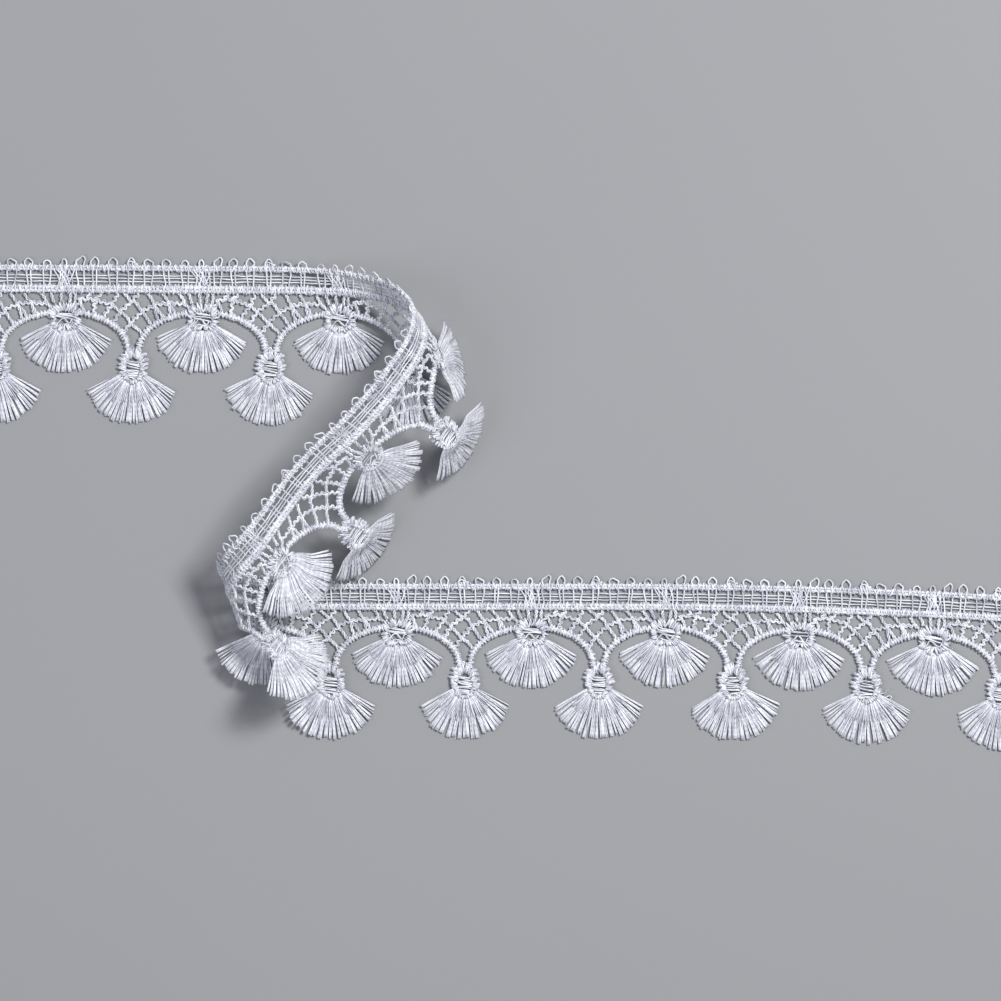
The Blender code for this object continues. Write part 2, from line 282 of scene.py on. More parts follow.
class Threads:
    """Gathers threads drawn in flat millimetres, and joins them as one mesh of thin tubes."""

    def __init__(self):
        self.points = []
        self.corners = []
        self.places = []
        self.sizes = []
        self.smooth = []
        self.count = 0
        self.number = 0

    def add(self, path, radius, out=(0.0, 0.0, 1.0), sides=5):
        """One thread along a path. The way out steadies its sides where it winds."""
        rings = len(path)
        way = np.gradient(path, axis=0)
        way /= np.linalg.norm(way, axis=1)[:, None]
        normal = out - way * np.sum(way * out, axis=1)[:, None]
        normal /= np.linalg.norm(normal, axis=1)[:, None]
        side = np.cross(way, normal)
        angle = 2.0 * math.pi * np.arange(sides) / sides
        outwards = np.cos(angle)[:, None] * normal[:, None, :]
        sideways = np.sin(angle)[:, None] * side[:, None, :]
        tube = path[:, None, :] + radius * (outwards + sideways)
        self.points.append(np.vstack([tube.reshape(-1, 3), path[:1], path[-1:]]))
        self.add_faces(rings, sides)
        self.place_twist(path, rings, sides)
        self.count += rings * sides + 2

    def add_faces(self, rings, sides):
        """Faces of four corners along the tube, and of three round each of its ends."""
        ring = np.arange(rings - 1)[:, None] * sides
        near = np.arange(sides)[None, :]
        far = (near + 1) % sides
        after = ring + sides
        quads = np.stack([ring + near, ring + far, after + far, after + near], axis=-1)
        first, last = rings * sides, rings * sides + 1
        tail = (rings - 1) * sides
        start_cap = np.stack([np.full(sides, first), far[0], near[0]], axis=-1)
        end_cap = np.stack([np.full(sides, last), tail + near[0], tail + far[0]], axis=-1)
        caps = np.vstack([start_cap, end_cap])
        self.corners += [quads.reshape(-1) + self.count, caps.reshape(-1) + self.count]
        self.sizes += [np.full(quads.size // 4, 4), np.full(len(caps), 3)]
        self.smooth += [np.ones(quads.size // 4, bool), np.zeros(len(caps), bool)]

    def place_twist(self, path, rings, sides):
        """The thread's own map: its number and the way round it, and the length along it in mm."""
        reach = length_along(path)
        start = np.broadcast_to(np.arange(sides) / sides, (rings - 1, sides)) + self.number
        end = start + 1.0 / sides
        before = np.broadcast_to(reach[:-1, None], start.shape)
        after = np.broadcast_to(reach[1:, None], start.shape)
        around = np.stack([start, end, end, start], axis=-1)
        length = np.stack([before, before, after, after], axis=-1)
        self.places.append(np.stack([around, length], axis=-1).reshape(-1, 2))
        cap = np.zeros((2 * sides * 3, 2))
        cap[:, 0] = self.number + 0.5
        cap[sides * 3:, 1] = reach[-1]
        self.places.append(cap)
        self.number += 1

    def piece(self, name, place, material):
        """The joined mesh, with its points laid in place."""
        points = place(np.vstack(self.points))
        corners = np.concatenate(self.corners)
        sizes = np.concatenate(self.sizes)
        mesh = bpy.data.meshes.new(name)
        mesh.vertices.add(len(points))
        mesh.vertices.foreach_set("co", points.astype(np.float32).ravel())
        mesh.loops.add(len(corners))
        mesh.loops.foreach_set("vertex_index", corners.astype(np.int32))
        mesh.polygons.add(len(sizes))
        mesh.polygons.foreach_set("loop_start", (np.cumsum(sizes) - sizes).astype(np.int32))
        mesh.polygons.foreach_set("use_smooth", np.concatenate(self.smooth))
        layer = mesh.uv_layers.new(name="thread")
        layer.data.foreach_set("uv", np.vstack(self.places).astype(np.float32).ravel())
        mesh.update(calc_edges=True)
        mesh.validate()
        mesh.materials.append(material)
        thing = bpy.data.objects.new(name, mesh)
        bpy.context.scene.collection.objects.link(thing)
        return thing


class Value:
    """A shader socket that takes part in sums like a number."""

    def __init__(self, finish, socket):
        self.finish = finish
        self.socket = socket

    def math(self, operation, *values):
        sockets = dict(enumerate(values))
        return self.finish.node("ShaderNodeMath", {"operation": operation}, sockets)[0]

    def __add__(self, other):
        return self.math("ADD", self, other)

    def __radd__(self, other):
        return self.math("ADD", other, self)

    def __sub__(self, other):
        return self.math("SUBTRACT", self, other)

    def __rsub__(self, other):
        return self.math("SUBTRACT", other, self)

    def __mul__(self, other):
        return self.math("MULTIPLY", self, other)

    def __rmul__(self, other):
        return self.math("MULTIPLY", other, self)

    def wave(self):
        """From 0 to 1 and back each time that the value grows by one."""
        return 0.5 + 0.5 * self.math("SINE", self * (2.0 * math.pi))


class Finish:
    """A material in the making, whose nodes are added one by one."""

    def __init__(self, name):
        self.material = bpy.data.materials.new(name)
        self.material.use_nodes = True
        self.tree = self.material.node_tree
        self.shader = self.tree.nodes["Principled BSDF"]

    def connect(self, socket, value):
        if isinstance(value, Value):
            self.tree.links.new(value.socket, socket)
        else:
            socket.default_value = value

    def node(self, kind, settings, sockets):
        """Adds a node: its settings first, then its sockets. Returns its outputs as values."""
        node = self.tree.nodes.new(kind)
        for setting, value in settings.items():
            setattr(node, setting, value)
        for socket, value in sockets.items():
            self.connect(node.inputs[socket], value)
        return [Value(self, output) for output in node.outputs]

    def noise(self, place, scale, detail):
        """Soft noise over a place that is given by its parts."""
        place = self.node("ShaderNodeCombineXYZ", {}, place)[0]
        sockets = {"Vector": place, "Scale": scale, "Detail": detail}
        return self.node("ShaderNodeTexNoise", {}, sockets)[0]

    def mixed(self, share, first, second):
        """A colour between two others."""
        sockets = {0: share, 6: first, 7: second}
        return self.node("ShaderNodeMix", {"data_type": "RGBA"}, sockets)[2]

    def set(self, **sockets):
        """Sets or links the shader's own sockets."""
        for socket, value in sockets.items():
            self.connect(self.shader.inputs[socket.replace("_", " ")], value)


# Rayon thread: how many plies are twisted together, how fine its fibres are round it and along it,
# how slowly the painted shade of each thread changes along it, and what each of them adds to its
# lightness and its relief. The grooves between the plies and the slow change along each thread are
# painted shade, which darkens the colour towards the shade colour; the fibres give the thread's
# own uneven tone.
PLIES = 2.0
FIBRES_AROUND = 14.0
FIBRES_ALONG = 0.7
FIBRES_APART = 0.3
THREAD_SHADE_ALONG = 0.12
THREAD_SHADE_SCALE = 1.7
PLY_GROOVE_SHADE = 0.55
FIBRE_TONE = 0.55
THREAD_SHADE_TONE = 2.4
DARKER = 1.2
PLY_RELIEF = 0.7
FIBRE_RELIEF = 0.3
RELIEF_DEPTH = 0.05 * MM
RELIEF_STRENGTH = 0.7
FIBRE_ROUGHNESS = 0.2
SHEEN = {"Specular_IOR_Level": 0.6, "Coat_Roughness": 0.22, "Coat_IOR": 1.5}


def thread_finish(name, white, shade, roughness, twist, coat):
    """Plies twisted together, fine fibres that follow the twist, painted shade and a soft sheen.
    """
    finish = Finish(name)
    place = finish.node("ShaderNodeUVMap", {"uv_map": "thread"}, {})[0]
    around, length, _ = finish.node("ShaderNodeSeparateXYZ", {}, {0: place})
    turn = length * (1.0 / twist) + around
    # The plies' wave: relief, and painted shade in the grooves between the plies
    plies = (turn * PLIES).wave()
    spun = {0: turn * FIBRES_AROUND, 1: length * FIBRES_ALONG, 2: around * FIBRES_APART}
    fibres = finish.noise(spun, scale=1.0, detail=2.0)
    # Painted shade along each thread: a slow noise, one for each thread, that darkens it in places
    thread_shade_place = {0: around.math("FLOOR", around), 1: length * THREAD_SHADE_ALONG}
    painted_thread_shade = finish.noise(thread_shade_place, scale=THREAD_SHADE_SCALE, detail=1.0)
    # The thread's lightness: painted shade of the ply grooves and of each thread, and the fibres'
    # own tone
    tone_and_painted_shade = plies * PLY_GROOVE_SHADE + fibres * FIBRE_TONE + painted_thread_shade * THREAD_SHADE_TONE - DARKER
    colour = finish.mixed(tone_and_painted_shade, shade, white)
    relief = plies * PLY_RELIEF + fibres * FIBRE_RELIEF
    sockets = {"Strength": RELIEF_STRENGTH, "Distance": RELIEF_DEPTH, "Height": relief}
    normal = finish.node("ShaderNodeBump", {}, sockets)[0]
    finish.set(Base_Color=colour, Roughness=roughness + FIBRE_ROUGHNESS * fibres, Normal=normal)
    finish.set(Coat_Weight=coat, **SHEEN)
    return finish.material


# The strip thread's white, and the shade colour towards which the painted shade darkens it
STRIP_WHITE = (0.86, 0.87, 0.92, 1.0)
STRIP_SHADE = (0.36, 0.37, 0.45, 1.0)
strip_finish = thread_finish("strip thread", STRIP_WHITE, STRIP_SHADE, 0.4, twist=1.3, coat=0.35)


def from_cut_to_cut(spacing, down, height):
    """A straight line along the whole trim."""
    u = np.arange(along(FIRST_CUT), along(LAST_CUT), spacing)
    return np.column_stack([u, np.full(len(u), -down), np.full(len(u), height)])


def add_bar(threads, bar, draw):
    """Two laid threads, whipped over both ways, and on the thick bar with longer stitches too."""
    height = BAR_HEIGHT - BAR_CORE_SUNK
    for side in BAR_CORES:
        core = from_cut_to_cut(BAR_CORE_SPACING, bar.down + side * bar.half_width, height)
        threads.add(core, BAR_CORE * bar.half_width, sides=6)
    line = from_cut_to_cut(BAR_SPACING, bar.down, BAR_HEIGHT)
    for pitch, (hand, share, uneven) in zip(bar.pitches, WINDINGS):
        rise = BAR_HEIGHT - WHIP_THREAD + WINDING_RISE * (1.0 - share)
        path, out = whipped(line, share * bar.half_width, rise, pitch, draw, hand, uneven=uneven)
        threads.add(path, WHIP_THREAD, out)


def add_running_thread(threads, down, draw):
    """A thread that runs the whole length of the trim."""
    u = np.arange(along(FIRST_CUT), along(LAST_CUT), RUNNING_SPACING)
    wave = draw.uniform(-UNEVEN, UNEVEN, len(u))
    height = RUNNING_HEIGHT + draw.uniform(-0.1, 0.1, len(u))
    threads.add(rounded(np.column_stack([u, -down + wave, height]), COARSE), THREAD)


def add_picot(threads, middle, picot, draw):
    """One thread up from the thick bar, round its loop, and back down."""
    tip = picot.tip + draw.uniform(-UNEVEN, UNEVEN)
    half = 0.5 * picot.width * draw.uniform(0.92, 1.08)
    spread = picot.spread + draw.uniform(-UNEVEN, UNEVEN)
    slant = draw.uniform(-0.3, 0.3)
    lean = picot.lean + draw.uniform(-0.1, 0.1)
    eye = THIN_BAR.down - PICOT_EYE
    drop = eye - tip
    outline = (
        (-0.75 * spread + slant, CROSSING_FOOT, FOOT_HEIGHT),
        (-0.8 * spread + slant, 6.0, CROSSING_HEIGHT),
        (-spread, 4.2, CROSSING_HEIGHT),
        (-spread, 3.2, CROSSING_HEIGHT),
        (-0.7 * half, eye + 0.35, BAR_HEIGHT + 0.35),
        (-half, eye - 0.42 * drop, 0.75),
        (lean - 0.5 * half, tip + 0.2 * drop, LOOP_HEIGHT),
        (lean, tip, LOOP_HEIGHT),
        (lean + 0.55 * half, tip + 0.25 * drop, LOOP_HEIGHT),
        (half, eye - 0.42 * drop, 0.6),
        (0.7 * half, eye + 0.35, BAR_HEIGHT + 0.2),
        (spread, 3.2, CROSSING_HEIGHT),
        (spread, 4.2, CROSSING_HEIGHT),
        (0.8 * spread + slant, 6.0, CROSSING_HEIGHT),
        (0.75 * spread + slant, CROSSING_FOOT, FOOT_HEIGHT),
    )
    line = [(middle + x, -down, height) for x, down, height in outline]
    threads.add(rounded(line, MEDIUM), PICOT_THREAD)


def add_cone(threads, middle, draw):
    """The picot over each join of two scallops is stitched up into a small cone."""
    base = np.array([(middle - 1.1, -1.75, 0.7), (middle + 1.5, -1.8, 0.7)])
    path, out = whipped(spaced(base, 0.3), across=0.5, rise=0.4, pitch=0.62, draw=draw)
    threads.add(path, THREAD, out)
    inner = [(-1.2, -1.9), (-0.75, -1.1), (-0.1, -0.75), (0.6, -1.1), (1.7, -1.7)]
    threads.add(rounded([(middle + x, y, 0.8) for x, y in inner], FINE), THREAD)


def add_ties(threads, middle, draw):
    """Over each scallop's middle the heading is crossed by a knot of short stitches."""
    for tie in TIES:
        x = middle + tie.start + draw.uniform(-TIE_UNEVEN, TIE_UNEVEN)
        foot = middle + tie.end + draw.uniform(-TIE_UNEVEN, TIE_UNEVEN)
        line = [(x, -3.0, 0.75), (0.5 * (x + foot) + 0.3, -5.0, 0.95), (foot, -7.2, 0.7)]
        threads.add(rounded(line, 0.5), THREAD)


heading = Threads()
heading_draw = np.random.default_rng(11)
add_bar(heading, THIN_BAR, heading_draw)
add_bar(heading, THICK_BAR, heading_draw)
for running_down in RUNNING_DOWN:
    add_running_thread(heading, running_down, heading_draw)
for mark in range(math.ceil(FIRST_CUT * len(PICOTS)) + 1, math.floor(LAST_CUT * len(PICOTS))):
    kind = mark % len(PICOTS)
    picot = PICOTS[kind]
    middle = along(mark / len(PICOTS)) + picot.shift + heading_draw.uniform(-0.15, 0.15)
    add_picot(heading, middle, picot, heading_draw)
    if kind == CONE_PICOT:
        add_cone(heading, middle, heading_draw)
    if kind == TIED_PICOT:
        add_ties(heading, middle, heading_draw)
lace_heading = heading.piece("lace_heading", lay, strip_finish)
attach(lace_heading, "root")
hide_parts("lace_strip")

# Below the thick bar hangs a net of brides, which are bars of two threads. Those that run down to
# the right are twisted. Those that run down to the left are stepped like a stair, with small eyes
# at the corners. Short struts tie the bar to the upper fans' heads.
BRIDE_HEIGHT = 0.58
BRIDE_THREAD = 0.21
BRIDE_SPACING = 0.32
SMOOTH_TWIST = 2.2
SMOOTH_HALF_WIDTH = 0.26
SMOOTH_BOW = 0.08
SMOOTH_FLATNESS = 0.7
STEP = 0.7
STEP_HALF_WIDTH = 0.3
STEP_SPACING = 0.3
PLY_HEIGHT = 0.12
STAIR_SLOPE = 0.35
KNOT = 0.3
NET_UNEVEN = 0.16

# The net's points in one repeat: from the middle between two scallops along the trim, and down
# from the picot tips (mm)
NET = {
    "bar_1": (-10.9, 8.6),
    "bar_2": (-8.0, 8.8),
    "bar_3": (-3.9, 8.9),
    "bar_4": (-2.5, 8.9),
    "bar_5": (1.2, 8.9),
    "bar_6": (3.4, 9.0),
    "bar_7": (7.0, 8.9),
    "bar_8": (11.2, 8.9),
    "head_left": (-14.1, 11.9),
    "head_right": (14.0, 12.7),
    "knot_left": (-13.2, 10.5),
    "first": (-11.3, 10.3),
    "second": (-9.5, 10.3),
    "third": (-5.3, 11.6),
    "fourth": (-0.6, 10.9),
    "fifth": (5.0, 11.8),
    "sixth": (8.6, 11.3),
    "seventh": (12.6, 11.4),
    "low_left": (-3.4, 13.4),
    "low_right": (2.0, 13.3),
    "lowest": (-0.9, 16.1),
    "knot_middle": (0.9, 11.4),
    "knot_low": (0.6, 17.3),
    "cord_1": (-12.1, 13.4),
    "cord_2": (-9.6, 13.7),
    "cord_3": (-7.4, 14.7),
    "cord_4": (-4.8, 15.9),
    "cord_5": (-2.2, 18.6),
    "cord_6": (1.6, 19.0),
    "cord_7": (4.0, 16.1),
    "cord_8": (5.9, 14.9),
    "cord_9": (7.3, 14.5),
    "cord_10": (8.9, 14.2),
    "cord_11": (10.5, 13.8),
    "foot_left": (-1.0, 22.5),
    "foot_right": (1.0, 22.9),
}
BRIDES = (
    ("bar_1", "first"),
    ("first", "knot_left"),
    ("knot_left", "head_left"),
    ("knot_left", "cord_1"),
    ("first", "second"),
    ("bar_2", "second"),
    ("second", "cord_2"),
    ("second", "third"),
    ("bar_3", "third"),
    ("third", "low_left"),
    ("third", "cord_3"),
    ("bar_4", "fourth"),
    ("bar_5", "fourth"),
    ("fourth", "low_left"),
    ("fourth", "knot_middle"),
    ("knot_middle", "low_right"),
    ("bar_6", "fifth"),
    ("fifth", "low_right"),
    ("fifth", "sixth"),
    ("bar_7", "sixth"),
    ("fifth", "cord_8"),
    ("fifth", "cord_9"),
    ("sixth", "cord_10"),
    ("sixth", "cord_11"),
    ("sixth", "seventh"),
    ("bar_8", "seventh"),
    ("seventh", "head_right"),
    ("low_left", "cord_4"),
    ("low_left", "lowest"),
    ("low_right", "lowest"),
    ("low_right", "cord_7"),
    ("lowest", "cord_5"),
    ("lowest", "knot_low"),
    ("knot_low", "cord_6"),
    ("foot_left", "foot_right"),
)
KNOTS = (
    "knot_left", "knot_middle", "knot_low", "third", "fifth", "sixth", "low_left", "low_right",
)

# The short struts between the thick bar and each upper fan's head: their places along the trim
# from the head's middle, and down from the picot tips (mm)
Strut = namedtuple("Strut", "at_bar at_head")
STRUTS = (Strut(-3.5, -2.7), Strut(-0.9, -0.7), Strut(1.4, 1.0), Strut(2.5, 2.4))
STRUT_TOP = 8.7
STRUT_FOOT = 11.3

# The scallop that the net ends on, from an upper fan's head to its foot in a lower fan's head (mm)
SCALLOP_HALF_WIDTH = 15.55
SCALLOP_HEIGHT = 9.2
SCALLOP_DOWN = 22.6
SCALLOP_POINTS = 40
HEAD_EDGE = 3.2
SCALLOP_FOOT = (16.0, 23.7)


def half_scallop(side):
    """One cord of a scallop: along from the scallop's middle, and down from the picot tips."""
    angle = np.radians(np.linspace(270.0, 360.0, SCALLOP_POINTS))
    x = SCALLOP_HALF_WIDTH * np.cos(angle)
    down = SCALLOP_DOWN + SCALLOP_HEIGHT * np.sin(angle)
    kept = x > HEAD_EDGE
    foot_x, foot_down = SCALLOP_FOOT
    return side * np.append(x[kept], foot_x), np.append(down[kept], foot_down)


def nearest_on_cord(x, down):
    """The point of a scallop's cord that is nearest to a point of the net."""
    side = math.copysign(1.0, x)
    cord_x, cord_down = half_scallop(-side)
    cord_x = cord_x + side * 0.5 * REPEAT
    nearest = np.argmin(np.hypot(cord_x - x, cord_down - down))
    return cord_x[nearest], cord_down[nearest]


def is_between_cuts(place):
    return FIRST_CUT < place < LAST_CUT


def add_smooth_bride(threads, start, end, draw):
    """Two threads twisted round each other between two flat points."""
    start = np.array((*start, BRIDE_HEIGHT))
    end = np.array((*end, BRIDE_HEIGHT))
    across = np.array((start[1] - end[1], end[0] - start[0], 0.0))
    bow = draw.uniform(-SMOOTH_BOW, SMOOTH_BOW)
    line = rounded([start, 0.5 * (start + end) + bow * across, end], BRIDE_SPACING)
    turns = np.linspace(0.0, np.linalg.norm(end - start) / SMOOTH_TWIST, len(line))
    turns = turns + draw.uniform()
    side = across / np.linalg.norm(across)
    for ply in (0.0, 0.5):
        angle = 2.0 * math.pi * (turns + ply)
        sway = side * (SMOOTH_HALF_WIDTH * np.cos(angle))[:, None]
        sway[:, 2] = SMOOTH_FLATNESS * SMOOTH_HALF_WIDTH * np.sin(angle)
        threads.add(line + sway, BRIDE_THREAD * draw.uniform(0.95, 1.15))


def add_stepped_bride(threads, start, end, draw):
    """Two threads side by side in zigzag steps, which part a little to leave small eyes."""
    start = np.array(start)
    way = np.array(end) - start
    length = np.linalg.norm(way)
    way /= length
    side = np.array((-way[1], way[0]))
    count = max(int(round(length / STEP)), 2) + 1
    gone = np.linspace(0.0, length, count)
    zigzag = np.where(np.arange(count) % 2, 1.0, -1.0) * draw.uniform(0.7, 1.25, count)
    parted = draw.uniform(0.1, 0.3, count)
    for ply in (-1.0, 1.0):
        apart = STEP_HALF_WIDTH * zigzag + ply * parted
        flat = start + gone[:, None] * way + apart[:, None] * side
        height = BRIDE_HEIGHT + ply * PLY_HEIGHT * zigzag
        line = rounded(np.column_stack([flat, height]), STEP_SPACING)
        threads.add(line, BRIDE_THREAD * draw.uniform(0.95, 1.1))


def add_bride(threads, start, end, draw):
    """A bride of the kind that belongs to its slope."""
    across, down = end[0] - start[0], start[1] - end[1]
    if across * down > 0.0 and abs(down) > STAIR_SLOPE * abs(across):
        add_smooth_bride(threads, start, end, draw)
    else:
        add_stepped_bride(threads, start, end, draw)


def add_knot(threads, middle, draw):
    """A small knot: one turn of thread lying round a point."""
    angle = np.linspace(0.0, 2.0 * math.pi, 9) + draw.uniform(0.0, 6.0)
    turn = np.column_stack([np.cos(angle), np.sin(angle), 0.25 * np.sin(2.0 * angle)])
    threads.add(np.array((*middle, BRIDE_HEIGHT + 0.1)) + KNOT * turn, BRIDE_THREAD)


lattice = Threads()
lattice_draw = np.random.default_rng(23)
for repeat in range(math.floor(FIRST_CUT), math.ceil(LAST_CUT) + 1):
    spots = {}
    for name, (x, down) in NET.items():
        if name.startswith("cord"):
            x, down = nearest_on_cord(x, down)
        shift = lattice_draw.uniform(-NET_UNEVEN, NET_UNEVEN, 2)
        place = repeat + 0.5 + (x + shift[0]) / REPEAT
        if is_between_cuts(place):
            spots[name] = (along(place), -down + shift[1])
    for start, end in BRIDES:
        if start in spots and end in spots:
            add_bride(lattice, spots[start], spots[end], lattice_draw)
    for name in KNOTS:
        if name in spots:
            add_knot(lattice, spots[name], lattice_draw)
    for strut in STRUTS:
        if all(is_between_cuts(repeat + place / REPEAT) for place in strut):
            top = (along(repeat) + strut.at_bar, -STRUT_TOP)
            foot = (along(repeat) + strut.at_head, -STRUT_FOOT)
            add_smooth_bride(lattice, top, foot, lattice_draw)
lace_lattice = lattice.piece("lace_lattice", lay, strip_finish)
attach(lace_lattice, "root")
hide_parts("lace_strip")

# The scallops are thick cords, a laid core whipped over both ways. Each one arches from a lower
# fan's head up to an upper fan's head, which it meets on both sides, and down to the next lower
# fan's head.
CORD_HEIGHT = 0.7
CORD_CORE = 0.5
CORD_HALF_WIDTH = 0.74
CORD_THREAD = 0.2
CORD_PITCH = 0.92
CORD_UNEVEN = 0.22
CORD_SPACING = 0.8


def add_cord(threads, line, draw):
    """A laid core, and a thread wound round it each way."""
    threads.add(line, CORD_CORE, sides=6)
    across, rise = CORD_HALF_WIDTH, CORD_HEIGHT - CORD_THREAD
    for hand in (1.0, -1.0):
        path, out = whipped(line, across, rise, CORD_PITCH, draw, hand, uneven=CORD_UNEVEN)
        threads.add(path, CORD_THREAD, out)


scallops = Threads()
scallop_draw = np.random.default_rng(37)
for repeat in range(math.floor(FIRST_CUT), math.ceil(LAST_CUT) + 1):
    for side in (-1.0, 1.0):
        x, down = half_scallop(side)
        kept = [is_between_cuts(repeat + offset / REPEAT) for offset in x]
        u = along(repeat + x[kept] / REPEAT)
        if len(u) > 3:
            line = np.column_stack([u, -down[kept], np.full(len(u), CORD_HEIGHT)])
            add_cord(scallops, spaced(line, CORD_SPACING), scallop_draw)
lace_scallops = scallops.piece("lace_scallops", lay, strip_finish)
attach(lace_scallops, "root")
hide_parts("lace_strip")

# The fans are the trim's tassels: floss that spreads from under a small head, and is cut off at
# its end. Its long threads fall in tufts that keep together at their cut tips, and shorter ones
# are piled over them. The head is a ring of satin stitches round an eye that threads cross.
FLOSS = 0.142
EAR_THREAD = 0.17

# A fan's head: how far its middle is down from the picot tips, and the ovals at that middle where
# the floss starts, where the eye ends and where the stitches end (mm). A squareness under 1 makes
# the last one squarer. Ears are small loops at the sides, and wraps and a tie cross the eye.
Oval = namedtuple("Oval", "middle half_width half_height")
Wraps = namedtuple("Wraps", "top foot passes")
Head = namedtuple("Head", "depth root eye rim squareness ears wraps tie")
UPPER_HEAD = Head(
    depth=14.4, root=Oval(-0.7, 3.1, 2.9), eye=Oval(-0.7, 2.45, 1.75),
    rim=Oval(-0.35, 4.2, 3.85), squareness=0.72, ears=(),
    wraps=(Wraps(0.45, -0.7, 3), Wraps(0.2, -2.3, 2)),
    tie=((-2.1, -2.3), (-0.6, -0.7), (1.0, -2.2), (1.9, -1.0)),
)
LOWER_HEAD = Head(
    depth=26.5, root=Oval(-1.0, 3.1, 2.95), eye=Oval(-1.15, 1.8, 2.75),
    rim=Oval(-0.5, 3.4, 4.8), squareness=1.0, ears=(2.1, 1.0, -0.1, -1.2, -2.3),
    wraps=(Wraps(0.5, -3.3, 5), Wraps(0.1, -3.6, 5)), tie=(),
)
HEAD_LAYERS = (0.45, 1.0)
HEAD_STITCHES = 33
STITCH_SPACING = 0.62
HEAD_HALF_WIDTH = 3.75

# A fan's floss: how far it reaches from the head's middle at its sides and in its middle (mm),
# and how far below level its outer threads point (degrees)
Fan = namedtuple("Fan", "head outer_reach middle_reach outer_angle")
UPPER_FAN = Fan(UPPER_HEAD, outer_reach=13.0, middle_reach=14.3, outer_angle=28.0)
LOWER_FAN = Fan(LOWER_HEAD, outer_reach=12.9, middle_reach=15.0, outer_angle=30.5)
FLOSS_THREADS = 90
FLOSS_POINTS = 13
FLOSS_SPACING = 0.25
FLOSS_SPLAY = 1.08
FLOSS_BEND = 0.38

# The tufts of long threads: how many threads each one has, also past a share of the way to the
# sides, how unevenly it lies and its threads start (degrees), how unevenly it is cut, and how far
# it lifts off the table (mm)
TUFT_SIZES = (2, 3, 3, 4, 4, 5)
SIDE_TUFT_SIZES = (1, 2, 2, 3)
SIDES_FROM = 0.72
TUFT_UNEVEN = 0.6
START_UNEVEN = 0.9
CUT_UNEVEN = (-0.5, 0.25)
TUFT_LIFT = 0.35

# Where along its length a tuft starts to draw together, and how much sooner at the sides, over
# what share of the length it does so, and how often a place after it stays empty, there too
PARTING = 0.42
SIDES_SOONER = 0.3
PARTING_UNEVEN = (-0.1, 0.06)
DRAWN_OVER = 0.5
GAPS = 0.15
SIDE_GAPS = 0.6

# The shorter threads: how many, how far inside the outer long ones they stay (degrees), and their
# share of the long ones' reach
PILE_THREADS = 54
PILE_INSET = 8.0
PILE_REACH = (0.62, 0.74)

# How high the floss lies: at these shares of its length, these heights (mm)
FLOSS_PROFILE = ((0.0, 0.15, 0.35, 0.6, 0.8, 1.0), (0.5, 0.7, 0.7, 0.3, 0.22, 0.3))
PILE_PROFILE = ((0.0, 0.25, 0.6, 0.85, 1.0), (0.5, 1.2, 1.35, 1.0, 0.4))

# Fans that spring off the folded strip, by their repeat: degrees turned in the strip's plane,
# dipped towards the tips, and rolled about the fan's own middle. They leave the strip over a short
# way past the head (mm).
SPRING = 5.0
Lean = namedtuple("Lean", "swing dip roll")
FANS_OFF_THE_STRIP = {
    3.0: Lean(-15.0, 0.0, -5.0),
    3.5: Lean(-8.0, -24.0, 0.0),
    4.0: Lean(0.0, -4.0, 0.0),
    4.5: Lean(5.0, -24.0, 4.0),
    5.0: Lean(14.0, 14.0, -3.0),
    5.5: Lean(5.0, 17.0, 30.0),
    6.0: Lean(1.0, 6.0, -26.0),
}

# A loose thread beside the head of one lower fan, in two parts (mm from the head)
LOOSE_THREAD_FAN = 10.5
LOOSE_THREAD = (
    ((2.2, -2.6), (3.3, -2.35), (4.5, -2.1), (4.9, -1.5), (5.5, -1.1)),
    ((2.4, -2.9), (4.4, -3.25), (5.6, -2.75), (6.2, -3.1), (5.2, -4.2), (4.4, -4.9)),
)

# How far the fans of the flat runs are turned about their heads, by their repeat (degrees)
FAN_TILTS = {
    0.0: 1.0, 0.5: -3.0, 1.0: -2.0, 1.5: -3.0,
    7.0: -3.0, 9.0: -2.5, 9.5: 5.0, 10.0: -1.0, 11.0: -2.0,
}


def frame_on_strip(u, down):
    """The strip's own directions at a point: along it, up towards the picots, and out of it."""
    spots = [(u - 0.5, -down, 0.0), (u + 0.5, -down, 0.0)]
    spots += [(u, -down - 0.5, 0.0), (u, -down + 0.5, 0.0)]
    left, right, low, high = (Vector(spot) for spot in lay(np.array(spots)))
    way = (right - left).normalized()
    out = way.cross(high - low).normalized()
    turn = Matrix((way, out.cross(way), out)).transposed().to_4x4()
    origin = Vector(lay(np.array([(u, -down, 0.0)]))[0])
    return Matrix.Translation(origin) @ turn


def fan_placing(repeat, fan):
    """The head follows the strip; on the folds the floss springs straight off from it."""
    middle = np.array((along(repeat), -fan.head.depth, 0.0))
    if repeat not in FANS_OFF_THE_STRIP:
        tilt = np.array(Matrix.Rotation(math.radians(FAN_TILTS.get(repeat, 0.0)), 3, "Z"))
        return lambda points: lay(points @ tilt.T + middle)
    swing, dip, roll = (math.radians(angle) for angle in FANS_OFF_THE_STRIP[repeat])
    rigid = frame_on_strip(middle[0], fan.head.depth) @ Matrix.Rotation(swing, 4, "Z")
    rigid = np.array(rigid @ Matrix.Rotation(dip, 4, "X") @ Matrix.Rotation(roll, 4, "Y"))

    def place(points):
        reach = np.hypot(points[:, 0], points[:, 1])
        free = smooth_step((reach - HEAD_HALF_WIDTH) / SPRING)[:, None]
        sprung = points * MM @ rigid[:3, :3].T + rigid[:3, 3]
        placed = lay(points + middle) * (1.0 - free) + sprung * free
        placed[:, 2] = np.maximum(placed[:, 2], 0.0)
        return placed
    return place


def on_oval(oval, degrees, grown=0.0, squareness=1.0):
    """A point on an oval of the head, counted round from its right end. Under 1 it is squarer."""
    around = math.radians(degrees)
    across, up = math.cos(around), math.sin(around)
    across = math.copysign(abs(across) ** squareness, across)
    up = math.copysign(abs(up) ** squareness, up)
    x = (oval.half_width + grown) * across
    return np.array((x, oval.middle + (oval.half_height + grown) * up))


